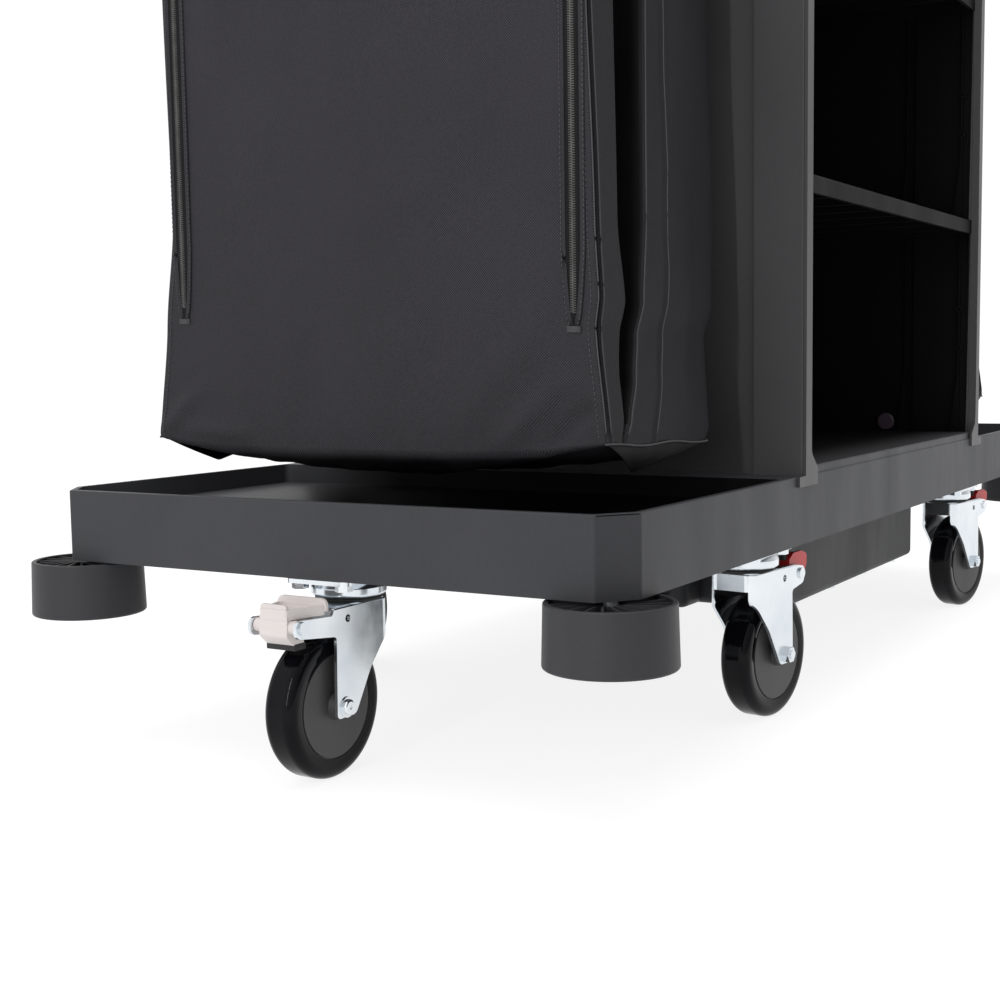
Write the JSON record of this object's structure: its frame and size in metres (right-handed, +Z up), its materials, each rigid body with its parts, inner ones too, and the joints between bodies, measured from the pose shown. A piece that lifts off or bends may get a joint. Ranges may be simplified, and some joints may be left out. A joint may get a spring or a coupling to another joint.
{
  "type": "rolling utility cart",
  "caption": "Long moulded service cart: open shelved cabinet between two hanging cloth bags, on swivel casters with brakes and corner bumper rollers.",
  "frame": {"origin": "on the floor under the middle of the cart", "axes": "+X along the cart's length, the open side of the cabinet faces -Y, +Z up"},
  "size_m": [1.5408, 0.6624, 1.25],
  "materials": {
    "deck_plastic": "moulded charcoal grey plastic, fine matte texture",
    "cabinet_plastic": "moulded charcoal grey plastic, fine matte texture",
    "trim_plastic": "smooth charcoal grey plastic trim",
    "cap_plastic": "smooth mauve grey plastic cap",
    "black_plastic": "black moulded plastic",
    "roller_plastic": "charcoal moulded plastic, satin",
    "hub_plastic": "flat black-grey plastic",
    "pedal_grey": "light warm grey plastic",
    "pedal_red": "red plastic",
    "bag_fabric": "charcoal black woven nylon",
    "zip_tape": "black woven zipper tape with black teeth",
    "zip_metal": "black lacquered zipper slider",
    "zinc_steel": "bright zinc-plated pressed steel",
    "tyre_black": "glossy black moulded tread",
    "grip_rubber": "black rubber",
    "black_tube": "black powder-coated steel tube"
  },
  "bodies": {
    "cart": {"base_deck": "deck_plastic", "underbody_tub": "deck_plastic", "tub_screws": "zinc_steel", "end_wall_left": "cabinet_plastic", "end_wall_right": "cabinet_plastic", "wall_edge_strips": "trim_plastic", "foot_caps": "cap_plastic", "back_panel": "cabinet_plastic", "mid_shelf": "cabinet_plastic", "upper_shelf": "cabinet_plastic", "top_tray": "deck_plastic", "tube_sockets": "black_plastic", "bag_frames": "black_tube", "push_handles": "black_tube", "handle_grips": "grip_rubber", "bag_left": "bag_fabric", "bag_right": "bag_fabric", "zip_tapes": "zip_tape", "caster_plates": "zinc_steel", "caster_gaskets": "grip_rubber", "caster_plate_bolts": "zinc_steel", "roller_bolts": "zinc_steel"},
    "slider_left_1": {"zip_slider_left_1": "zip_metal"},
    "slider_left_2": {"zip_slider_left_2": "zip_metal"},
    "slider_right_1": {"zip_slider_right_1": "zip_metal"},
    "slider_right_2": {"zip_slider_right_2": "zip_metal"},
    "swivel_end_left": {"fork_end_left": "zinc_steel", "fork_pins_end_left": "zinc_steel"},
    "wheel_end_left": {"tyre_end_left": "tyre_black", "hub_end_left": "hub_plastic"},
    "brake_end_left": {"pedal_end_left": "pedal_grey"},
    "swivel_front_left": {"fork_front_left": "zinc_steel", "fork_pins_front_left": "zinc_steel"},
    "wheel_front_left": {"tyre_front_left": "tyre_black", "hub_front_left": "hub_plastic"},
    "brake_front_left": {"pedal_front_left": "pedal_red"},
    "swivel_front_right": {"fork_front_right": "zinc_steel", "fork_pins_front_right": "zinc_steel"},
    "wheel_front_right": {"tyre_front_right": "tyre_black", "hub_front_right": "hub_plastic"},
    "brake_front_right": {"pedal_front_right": "pedal_red"},
    "swivel_rear_left": {"fork_rear_left": "zinc_steel", "fork_pins_rear_left": "zinc_steel"},
    "wheel_rear_left": {"tyre_rear_left": "tyre_black", "hub_rear_left": "hub_plastic"},
    "brake_rear_left": {"pedal_rear_left": "pedal_red"},
    "swivel_rear_right": {"fork_rear_right": "zinc_steel", "fork_pins_rear_right": "zinc_steel"},
    "wheel_rear_right": {"tyre_rear_right": "tyre_black", "hub_rear_right": "hub_plastic"},
    "brake_rear_right": {"pedal_rear_right": "pedal_red"},
    "swivel_end_right": {"fork_end_right": "zinc_steel", "fork_pins_end_right": "zinc_steel"},
    "wheel_end_right": {"tyre_end_right": "tyre_black", "hub_end_right": "hub_plastic"},
    "brake_end_right": {"pedal_end_right": "pedal_grey"},
    "roller_front_left": {"roller_front_left": "roller_plastic"},
    "roller_rear_left": {"roller_rear_left": "roller_plastic"},
    "roller_front_right": {"roller_front_right": "roller_plastic"},
    "roller_rear_right": {"roller_rear_right": "roller_plastic"}
  },
  "joints": [
    {"name": "swivel_end_left", "type": "hinge", "parent": "cart", "child": "swivel_end_left", "pos_m": [-0.6654, 0, 0.16], "axis": [0, 0, 1], "continuous": true},
    {"name": "spin_end_left", "type": "hinge", "parent": "swivel_end_left", "child": "wheel_end_left", "pos_m": [-0.7054, 0, 0.0635], "axis": [0, -1, 0], "continuous": true},
    {"name": "brake_end_left", "type": "hinge", "parent": "swivel_end_left", "child": "brake_end_left", "pos_m": [-0.7619, 0, 0.1405], "axis": [0, -1, 0], "range_deg": [0, 8]},
    {"name": "swivel_front_left", "type": "hinge", "parent": "cart", "child": "swivel_front_left", "pos_m": [-0.3647, -0.249, 0.16], "axis": [0, 0, 1], "continuous": true},
    {"name": "spin_front_left", "type": "hinge", "parent": "swivel_front_left", "child": "wheel_front_left", "pos_m": [-0.325, -0.25388, 0.0635], "axis": [0.1219, 0.9925, 0], "continuous": true},
    {"name": "brake_front_left", "type": "hinge", "parent": "swivel_front_left", "child": "brake_front_left", "pos_m": [-0.29572, -0.25747, 0.1405], "axis": [0.1219, 0.9925, 0], "range_deg": [0, 8]},
    {"name": "swivel_front_right", "type": "hinge", "parent": "cart", "child": "swivel_front_right", "pos_m": [0.3647, -0.255, 0.16], "axis": [0, 0, 1], "continuous": true},
    {"name": "spin_front_right", "type": "hinge", "parent": "swivel_front_right", "child": "wheel_front_right", "pos_m": [0.40409, -0.26195, 0.0635], "axis": [0.1736, 0.9848, 0], "continuous": true},
    {"name": "brake_front_right", "type": "hinge", "parent": "swivel_front_right", "child": "brake_front_right", "pos_m": [0.43314, -0.26707, 0.1405], "axis": [0.1736, 0.9848, 0], "range_deg": [0, 8]},
    {"name": "swivel_rear_left", "type": "hinge", "parent": "cart", "child": "swivel_rear_left", "pos_m": [-0.3647, 0.252, 0.16], "axis": [0, 0, 1], "continuous": true},
    {"name": "spin_rear_left", "type": "hinge", "parent": "swivel_rear_left", "child": "wheel_rear_left", "pos_m": [-0.32492, 0.25618, 0.0635], "axis": [-0.1045, 0.9945, 0], "continuous": true},
    {"name": "brake_rear_left", "type": "hinge", "parent": "swivel_rear_left", "child": "brake_rear_left", "pos_m": [-0.29558, 0.25927, 0.1405], "axis": [-0.1045, 0.9945, 0], "range_deg": [0, 8]},
    {"name": "swivel_rear_right", "type": "hinge", "parent": "cart", "child": "swivel_rear_right", "pos_m": [0.3647, 0.252, 0.16], "axis": [0, 0, 1], "continuous": true},
    {"name": "spin_rear_right", "type": "hinge", "parent": "swivel_rear_right", "child": "wheel_rear_right", "pos_m": [0.4046, 0.24921, 0.0635], "axis": [0.0698, 0.9976, 0], "continuous": true},
    {"name": "brake_rear_right", "type": "hinge", "parent": "swivel_rear_right", "child": "brake_rear_right", "pos_m": [0.43403, 0.24715, 0.1405], "axis": [0.0698, 0.9976, 0], "range_deg": [0, 8]},
    {"name": "swivel_end_right", "type": "hinge", "parent": "cart", "child": "swivel_end_right", "pos_m": [0.6654, 0, 0.16], "axis": [0, 0, 1], "continuous": true},
    {"name": "spin_end_right", "type": "hinge", "parent": "swivel_end_right", "child": "wheel_end_right", "pos_m": [0.7054, 0, 0.0635], "axis": [0, 1, 0], "continuous": true},
    {"name": "brake_end_right", "type": "hinge", "parent": "swivel_end_right", "child": "brake_end_right", "pos_m": [0.7619, 0, 0.1405], "axis": [0, 1, 0], "range_deg": [0, 8]},
    {"name": "roll_front_left", "type": "hinge", "parent": "cart", "child": "roller_front_left", "pos_m": [-0.7065, -0.2783, 0.15], "axis": [0, 0, 1], "continuous": true},
    {"name": "roll_rear_left", "type": "hinge", "parent": "cart", "child": "roller_rear_left", "pos_m": [-0.7065, 0.2783, 0.15], "axis": [0, 0, 1], "continuous": true},
    {"name": "roll_front_right", "type": "hinge", "parent": "cart", "child": "roller_front_right", "pos_m": [0.7065, -0.2783, 0.15], "axis": [0, 0, 1], "continuous": true},
    {"name": "roll_rear_right", "type": "hinge", "parent": "cart", "child": "roller_rear_right", "pos_m": [0.7065, 0.2783, 0.15], "axis": [0, 0, 1], "continuous": true},
    {"name": "zip_left_1", "type": "slide", "parent": "cart", "child": "slider_left_1", "axis": [0, 0, -1], "range_m": [0, 0.483]},
    {"name": "zip_left_2", "type": "slide", "parent": "cart", "child": "slider_left_2", "axis": [0, 0, -1], "range_m": [0, 0.5]},
    {"name": "zip_right_1", "type": "slide", "parent": "cart", "child": "slider_right_1", "axis": [0, 0, -1], "range_m": [0, 0.483]},
    {"name": "zip_right_2", "type": "slide", "parent": "cart", "child": "slider_right_2", "axis": [0, 0, -1], "range_m": [0, 0.5]}
  ]
}
